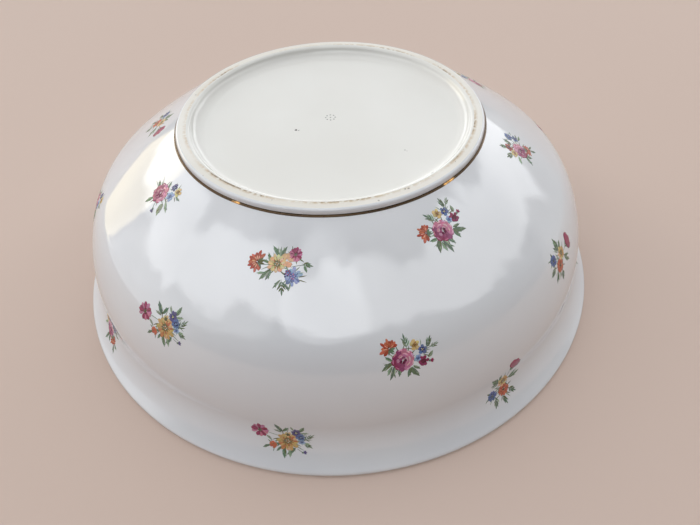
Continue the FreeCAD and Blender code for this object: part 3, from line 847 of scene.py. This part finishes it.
# millimetres and degrees on the wall, x round the bowl and y towards the foot
sprays = {
    "rose": (
        wisps(-1.9, -0.9, 5.2, 13) + wisps(4.2, 1.2, 3.6, 11) + sprig(0.1, 2.6, 5.8, 95, 2, 1.1)
        + sprig(7.0, 1.0, 5.0, 62, 2, 1.0) + stem(5.6, 0.8, 6.4, 12, 10)
        + sprig(8.2, 1.4, 3.6, 10, 1, 0.8, "deep", "sage")
        + leaf(7.2, -2.2, 3.2, 1.7, 42, 20, "olive", "sage")
        + leaf(-5.0, -0.8, 5.8, 2.1, 204, 12, "olive", "leaf") + leaf(-5.4, -0.6, 3.4, 1.5, 146, -12)
        + leaf(-5.0, -2.0, 6.6, 1.9, 256, -16) + leaf(-5.8, -2.2, 4.2, 1.4, 232, 10, "deep", "sage")
        + leaf(-3.6, -3.6, 3.6, 1.3, 268) + leaf(0.6, -4.0, 5.4, 2.2, 292, 10, "olive", "leaf")
        + leaf(0.4, -4.2, 4.4, 1.8, 258, -10, "olive", "leaf") + leaf(1.4, -3.8, 3.4, 1.4, 325, 10)
        + halfDaisy(-6.0, 4.2, 3.5, 122) + rose(-1.9, -0.9, 4.3, 0)
        + blossom(3.1, 3.7, 2.1, 5, "ochre", "yellow", "brown", 20)
        + blossom(5.5, 1.4, 1.9, 5, "navy", "blue", "yellow", 10)
        + blossom(3.5, -1.4, 1.5, 5, "blue", "sky", "navy", 40, 2.4)
        + blossom(5.2, -3.1, 2.1, 6, "wine", "crimson", "plum", 0)
        + bud(7.6, -3.6, 1.0, 350, "wine", "crimson")),
    "marigold": (
        wisps(1.5, -1.1, 5.2, 13) + wisps(5.0, 2.6, 3.4, 10) + wisps(-3.4, -4.8, 2.2, 6)
        + leaf(-1.6, 3.0, 5.6, 2.2, 128, 12) + leaf(-1.2, 3.2, 4.0, 1.8, 76, -14)
        + leaf(-1.6, 2.6, 3.6, 1.2, 168, 10, "deep", "sage") + leaf(4.6, 5.0, 4.6, 2.1, 66, 14)
        + leaf(5.2, 4.6, 3.4, 1.2, 22, 0, "deep", "sage")
        + leaf(2.4, 5.4, 2.8, 1.2, 128, 0, "olive", "sage") + sprig(7.2, 1.0, 5.6, 52, 2, 0.8)
        + sprig(7.0, 0.2, 4.6, 338, 2, 0.9) + leaf(0.8, -4.6, 5.2, 2.1, 286, 10, "olive", "leaf")
        + leaf(-0.2, -4.4, 3.4, 1.3, 250) + leaf(5.0, -3.2, 4.8, 1.8, 252, -12)
        + leaf(2.8, -5.0, 3.2, 1.2, 300, 0, "olive", "sage") + stem(5.6, -3.4, 3.4, 332, 20)
        + leaf(-4.4, -5.6, 3.6, 1.3, 208, 12) + leaf(-4.6, -3.0, 3.0, 1.4, 142, 0, "deep", "sage")
        + stem(-2.0, 0.2, 5.0, 176, 10)
        + cosmos(-10.0, 0.0, 3.8, ("crimson", "wine"), ("pink", "crimson"), "olive", 30)
        + marigold(1.5, -1.1, 4.4, 8, ("peach", "orange", "gold"))
        + bud(-1.9, -4.1, 1.9, 214, "flame", "orange")
        + blossom(-3.6, -4.9, 1.5, 5, "flame", "orange", "ochre", 30, 2.2)
        + blossom(0.9, 2.2, 1.6, 5, "olive", "yellow", "deep", 0, 2.6)
        + blossom(3.7, 4.3, 2.1, 6, "navy", "violet", "yellow", 0)
        + blossom(5.9, 2.4, 2.0, 6, "navy", "blue", "sky", 20, 2.4)
        + blossom(6.8, 0.2, 1.4, 5, "blue", "sky", "navy", 0, 2.2)
        + bud(8.2, -4.4, 1.0, 20, "navy", "violet")),
    "cornflower": (
        wisps(-1.3, 1.4, 4.4, 11) + wisps(4.8, -2.5, 3.6, 9) + wisps(4.6, 4.6, 2.8, 7)
        + leaf(-0.8, 3.9, 4.8, 1.9, 124, 12) + leaf(-0.2, 4.2, 4.6, 1.7, 72, -10)
        + leaf(-0.4, 4.0, 3.6, 1.1, 98, 0, "deep", "sage") + leaf(-3.8, 1.6, 4.0, 1.5, 112, 8)
        + leaf(-3.8, 1.2, 4.0, 1.3, 160, 14) + leaf(-3.2, -1.0, 5.6, 1.9, 222, 14)
        + leaf(-3.2, -1.2, 4.0, 1.6, 264, -10) + leaf(-5.0, -2.4, 3.0, 1.2, 190, 0, "deep", "sage")
        + sprig(1.0, -3.6, 6.0, 280, 2, 1.1) + leaf(0.8, -4.0, 4.2, 1.1, 238, -10)
        + leaf(2.4, -5.2, 3.2, 1.2, 305) + stem(3.6, 0.6, 6.0, 22, -20)
        + sprig(7.4, 2.2, 4.4, 350, 2, 1.0) + leaf(8.4, 1.4, 2.6, 1.2, 300) + stem(-2.8, 0.8, 5.6, 184, 8)
        + halfDaisy(-8.6, 1.0, 3.9, 180, 250, 10)
        + ring(2.0, 3.0, 2.6, 6, "orange", "peach", 0.1, 0.8, 10)
        + marigold(-1.3, 1.4, 3.5, 0, ("peach", "cream", "yellow"))
        + cosmos(5.0, 5.3, 2.8, ("wine", "crimson"), ("pink", "crimson"), "plum", 15, 7)
        + cornflower(4.8, -2.5, 3.4, 10) + dots(3.0, -1.3, 0.7, 5, 0.6, "crimson", 3.6)
        + dots(2.4, -2.4, 0.5, 3, 0.7, "navy", 3.2)),
    "posy": (
        wisps(-0.4, -1.3, 5.0, 12) + wisps(4.8, 3.4, 3.4, 9) + wisps(-4.4, 3.4, 3.2, 8)
        + sprig(-5.6, 2.6, 6.0, 158, 2, 1.2) + sprig(-4.2, 5.4, 5.0, 122, 2, 1.1)
        + sprig(-0.4, 2.6, 5.8, 88, 2, 1.2) + leaf(6.2, -0.4, 4.4, 1.5, 338, 12)
        + leaf(5.8, 0.4, 4.0, 1.3, 8, 10) + leaf(-2.2, -4.4, 4.8, 1.9, 248, -12)
        + leaf(-1.4, -4.8, 3.6, 1.4, 282) + leaf(4.4, -7.2, 4.4, 1.4, 290, 10)
        + leaf(5.0, -6.4, 3.4, 1.2, 330) + leaf(-5.2, -0.6, 4.4, 1.7, 208, 12, "olive", "sage")
        + stem(1.6, 1.4, 5.4, 50, 10) + leaf(3.0, 3.6, 3.4, 1.3, 100)
        + halfDaisy(3.2, -5.2, 3.0, 300, 260, 10) + rose(-0.4, -1.3, 4.1, 60)
        + blossom(-3.6, 5.0, 2.2, 5, "wine", "flame", "plum", 0)
        + blossom(-5.0, 1.7, 2.2, 6, "ochre", "yellow", "flame", 20)
        + blossom(4.4, 5.3, 2.4, 6, "navy", "blue", "sky", 10)
        + blossom(5.9, 1.6, 2.0, 5, "navy", "blue", "violet", 30, 2.4)),
    "garland": (
        wisps(-2.8, -0.3, 5.2, 12) + wisps(3.4, 3.8, 3.4, 10)
        + sprig(2.0, -1.2, 6.4, 290, 2, 1.7, "olive", "sage")
        + leaf(3.2, -0.6, 5.2, 1.6, 324, 12, "olive", "sage") + leaf(-4.0, -3.6, 4.8, 1.9, 236, 10)
        + leaf(-5.6, 0.6, 4.2, 1.5, 152, -10) + leaf(-1.4, 3.0, 4.0, 1.4, 106)
        + leaf(5.8, 3.6, 3.8, 1.2, 350, 14, "olive", "sage") + stem(-1.6, -3.6, 3.6, 300, -10)
        + bud(0.2, -6.6, 1.1, 280, "deep", "violet") + rose(-2.8, -0.3, 4.4, 20)
        + blossom(3.2, 1.9, 2.3, 6, "blue", "sky", "navy", 0)
        + blossom(1.7, 5.7, 1.8, 6, "navy", "violet", "sky", 20)
        + blossom(5.2, 5.4, 2.0, 6, "ochre", "yellow", "olive", 10)),
    "poppy": (
        wisps(-2.6, -1.6, 4.2, 11) + wisps(0.6, 1.4, 4.0, 9) + wisps(-6.2, 2.8, 3.0, 7)
        + sprig(0.4, 3.0, 6.2, 88, 2, 1.5) + leaf(0.2, 3.4, 4.6, 1.6, 132, 8)
        + leaf(0.8, 3.2, 4.6, 1.6, 46, -8) + sprig(-6.0, -0.2, 5.4, 198, 2, 1.0)
        + sprig(-4.8, -2.6, 5.4, 234, 2, 1.0) + sprig(-1.6, -4.4, 5.2, 262, 2, 1.1)
        + leaf(2.8, -1.6, 6.4, 1.9, 300, 14, "olive", "leaf") + leaf(3.2, -1.2, 4.4, 1.4, 330, 10)
        + stem(2.2, 0.6, 6.0, 4, 8) + cosmos(-6.2, 2.8, 2.6, "navy", "blue", "sky", 0)
        + cosmos(-2.6, -2.0, 3.1, "flame", "orange", "yellow", 20) + marigold(1.2, 1.5, 2.9, 10)
        + [stroke(7.4, 1.0, d, 5.4, 4.0, "plum", "crimson", "petal", 0, 1.4 + 0.3 * k)
           for k, d in enumerate((-34, 34, 0))] + leaf(6.4, 1.0, 2.4, 0.9, 40)
        + leaf(6.4, 1.0, 2.4, 0.9, 320)),
}

# azimuth and turn in degrees, and millimetres down the wall from the foot line, from the belly's join
# with the bend, or up from the lip, in the three rows
sprayPlaces = {
    "shoulder": [("cornflower", -104.2, 0, 19.6), ("rose", -61.0, 36, 13.0), ("posy", -15.5, 0, 17.4),
                 ("garland", 27.0, 20, 15.0), ("marigold", 72.0, 10, 16.5), ("cornflower", 121.0, -25, 17.0),
                 ("poppy", 171.5, 15, 15.2), ("garland", -147.9, 0, 14.1)],
    "belly": [("rose", -78.8, 0, -0.6), ("poppy", -36.6, 0, 0.7), ("cornflower", 8.0, 30, 0.4),
              ("posy", 54.0, -20, -1.0), ("rose", 99.0, 48, 1.2), ("marigold", 144.0, 12, 0.0),
              ("garland", -171.0, 8, -0.8), ("marigold", -126.6, 0, -1.7)],
    "flare": [("marigold", -101.8, -13, 13.6), ("poppy", -58.7, 50, 15.6), ("rose", -14.0, 22, 14.0),
              ("garland", 33.0, -30, 13.2), ("poppy", 78.0, 18, 14.4), ("cornflower", 122.0, 0, 14.0),
              ("rose", 167.0, -24, 13.6), ("posy", -150.1, 12, 13.4)],
}
# enamel: its thickness, the rise of a layer, how much of it lies under the middle, and the mesh's counts
enamel = {"thickness": 0.075 * mm, "layer": 0.022 * mm, "sunk": 0.35, "along": 9, "around": 8,
          "wallSteps": 400}


def wallTable(shape):
    # distance down the wall, and there the distance from the axis, height and slope
    rows = []
    travelled = 0.0
    for arc, start, end in shape["wall"]:
        slopes = np.linspace(start, end, enamel["wallSteps"])
        down = travelled + abs(arc[2]) * np.abs(slopes - start)
        rows.append(np.column_stack([down, onArc(arc, slopes), slopes]))
        travelled += abs(arc[2] * (end - start))
    return np.vstack(rows)


def strokeGrid(strokes):
    # each stroke is a flattened tube along an arc. At u its middle lies at
    # root + length (sin(h + bend u) - sin h, cos h - cos(h + bend u)) / bend,
    # its half-width is w = width sin(pi u^skew)^power, and round it, at f, its surface is
    # w cos f across and thickness sin f up, shallower where f is underneath
    s = np.array(strokes)[:, :, None, None]
    x, y, heading, length, half, bend, skew, power, layer = (s[:, k] for k in range(9))
    bend = np.where(np.abs(bend) < 1e-3, 1e-3, bend)
    u = np.linspace(0, 1, enamel["along"])[None, :, None]
    f = np.linspace(0, 2 * math.pi, enamel["around"], endpoint=False)[None, None, :]
    now = heading + bend * u
    middleX = x + length * (np.sin(now) - np.sin(heading)) / bend
    middleY = y + length * (np.cos(heading) - np.cos(now)) / bend
    share = np.abs(np.sin(math.pi * np.clip(u, 1e-6, 1) ** skew)) ** power
    share[:, [0, -1]] = 0.0
    across = half * share * np.cos(f)
    up = np.where(np.sin(f) > 0, 1.0, enamel["sunk"]) * np.sin(f) * share ** 0.5 * enamel["thickness"]
    height = up + (layer - 1) * enamel["layer"] * (share ** 0.5)
    return middleX - across * np.sin(now), middleY + across * np.cos(now), height


def makeSpray(name, design, azimuth, turn, distance, table, material):
    strokes = sprays[design]
    x, y, height = strokeGrid(strokes)
    a = math.radians(turn)
    x, y = (x * math.cos(a) - y * math.sin(a)) * mm, (x * math.sin(a) + y * math.cos(a)) * mm
    middle = np.interp(distance, table[:, 0], table[:, 1])
    down = np.clip(distance - y, 0, table[-1, 0])
    r, z, slope = (np.interp(down, table[:, 0], table[:, k]) for k in (1, 2, 3))
    angle = math.radians(azimuth) + x / middle
    r, z = r + height * np.sin(slope), z + height * np.cos(slope)
    points = np.stack([r * np.cos(angle), r * np.sin(angle), z], -1)
    count, along, around = points.shape[:3]
    # the first and last rings have no width, so each is one point: rings, root, tip
    kept = np.concatenate([points[:, 1:-1].reshape(count, -1, 3), points[:, :1, 0], points[:, -1:, 0]], 1)
    size, rings = kept.shape[1], along - 2
    start = (np.arange(count) * size)[:, None, None]
    faces = []
    for plan in (ringFaces(rings, around), poleFaces(rings, around)):
        # a stroke's rings are numbered against a lathed piece's sense, so its faces are turned round
        faces += (plan[None, :, ::-1] + start).reshape(-1, plan.shape[1]).tolist()
    piece = meshObject(name, kept.reshape(-1, 3), faces, material)
    u = np.r_[np.repeat(np.linspace(0, 1, along)[1:-1], around), 0.0, 1.0]
    v = np.r_[np.tile(np.cos(np.linspace(0, 2 * math.pi, around, endpoint=False)), rings), 0.0, 0.0]
    per = np.repeat(np.array(strokes)[:, None, :], size, 1)
    coordinates = np.stack([np.tile(u, (count, 1)), np.tile(v, (count, 1)), per[..., 9]], -1)
    held = piece.data.attributes
    held.new("stroke", "FLOAT_VECTOR", "POINT").data.foreach_set("vector", coordinates.ravel())
    for label, first in (("rootColour", 10), ("tipColour", 13)):
        values = np.concatenate([per[..., first:first + 3], np.ones((count, size, 1))], -1)
        held.new(label, "FLOAT_COLOR", "POINT").data.foreach_set("color", values.ravel())
    return piece


def makeSprays(shape, material):
    table = wallTable(shape)
    foot, bend, belly = np.radians(bowl["slopes"][:3])
    bellyStart = abs(shape["wall"][0][0][2]) * (bend - foot) + bowl["bendRadius"] * (belly - bend)
    rowStart = {"shoulder": (0.0, 1), "belly": (bellyStart, 1), "flare": (table[-1, 0], -1)}
    for row, places in sprayPlaces.items():
        start, direction = rowStart[row]
        for number, (design, azimuth, turn, offset) in enumerate(places, start=1):
            down = start + direction * offset * mm
            piece = makeSpray(f"{row}Spray{number}", design, azimuth, turn, down, table, material)
            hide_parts(f"spray_{row}_{number}")
    print("sprays made")


ironSpecks = {
    # x, y, width and height in mm, on the recess floor and on the standing face
    "floor": [(-15.3, -8.5, 1.15, 0.08), (-14.1, -8.9, 0.5, 0.05), (29.8, -27.7, 0.5, 0.05),
              (30.6, -28.4, 0.3, 0.04)],
    "foot": [(-27.0, -57.2, 0.42, 0.04), (-22.9, -59.8, 0.34, 0.04), (25.6, -58.0, 0.5, 0.04),
             (26.7, -58.0, 0.26, 0.03), (47.0, -43.5, 0.3, 0.03), (-52.5, 36.4, 0.26, 0.03)],
    "rings": 5, "around": 14,
}


def makeIronSpecks(material):
    # low lumpy domes of burnt iron: at turn a and tilt t from the top, the point lies width/2 sin t out and
    # rise cos t up
    rings, around = ironSpecks["rings"], ironSpecks["around"]
    t = np.linspace(0, math.pi, rings + 2)[1:-1, None]
    a = np.linspace(0, 2 * math.pi, around, endpoint=False)[None, :]
    points, faces = [], []
    for where, level in (("floor", bowl["height"] - bowl["recess"]), ("foot", bowl["height"])):
        for x, y, width, rise in ironSpecks[where]:
            out = width / 2 * np.sin(t) * (1 + 0.18 * np.sin(3 * a + x) + 0.1 * np.sin(5 * a + y))
            dome = np.stack([x + out * np.cos(a), y + out * np.sin(a), rise * np.cos(t) + 0 * a], -1)
            start = len(points) * (rings * around + 2)
            shell = np.vstack([dome.reshape(-1, 3), [[x, y, rise], [x, y, -rise]]])
            points.append(shell * mm + [0, 0, level])
            for plan in (ringFaces(rings, around), poleFaces(rings, around)):
                faces += (plan + start).tolist()
    piece = meshObject("ironSpecks", np.vstack(points), faces, material)


def speckMaterial():
    # iron burnt out of the body, nearly black with brown clouds
    material, tree, shader = newMaterial("burntIron", Roughness=0.3)
    mottle(tree, shader, noise(tree, objectPlace(tree), waves["ironClouds"], 2.0), "iron")
    return material


makeCamera(viewpoint)
makeLights(studio)
half = studio["floorSize"] / 2
floorMesh = bpy.data.meshes.new("floor")
corners = [(-half, -half, 0), (half, -half, 0), (half, half, 0), (-half, half, 0)]
floorMesh.from_pydata(corners, [], [(0, 1, 2, 3)])
floorMesh.materials.append(floorMaterial())
floor = bpy.data.objects.new("floor", floorMesh)
bpy.context.collection.objects.link(floor)
print("camera, lights and floor made")

surface, strokeGroup = firedSurfaceGroup(), printedStrokeGroup()
shape = solveProfile(bowl)
makeOuterGlaze(shape, glazeMaterial("wallGlaze", glazeLook["wall"], surface))
makeInnerGlaze(shape, glazeMaterial("insideGlaze", glazeLook["inside"], surface))
makeBaseGlaze(shape, glazeMaterial("baseGlazeCoat", glazeLook["base"], surface))
print("glaze coats made")
makeFootRing(shape, bareFootMaterial(surface))
makeGoldLine(shape, goldMaterial())
print("foot ring and gold line made")
makeSprays(shape, enamelMaterial(strokeGroup))
makeIronSpecks(speckMaterial())

for node, material in (("bowl_body", firedBodyMaterial(surface)), ("base_mark", printMaterial())):
    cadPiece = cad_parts[node]
    for slot in cadPiece.material_slots:
        slot.material = material
    if not cadPiece.material_slots:
        cadPiece.data.materials.append(material)
print("carried nodes have their materials")
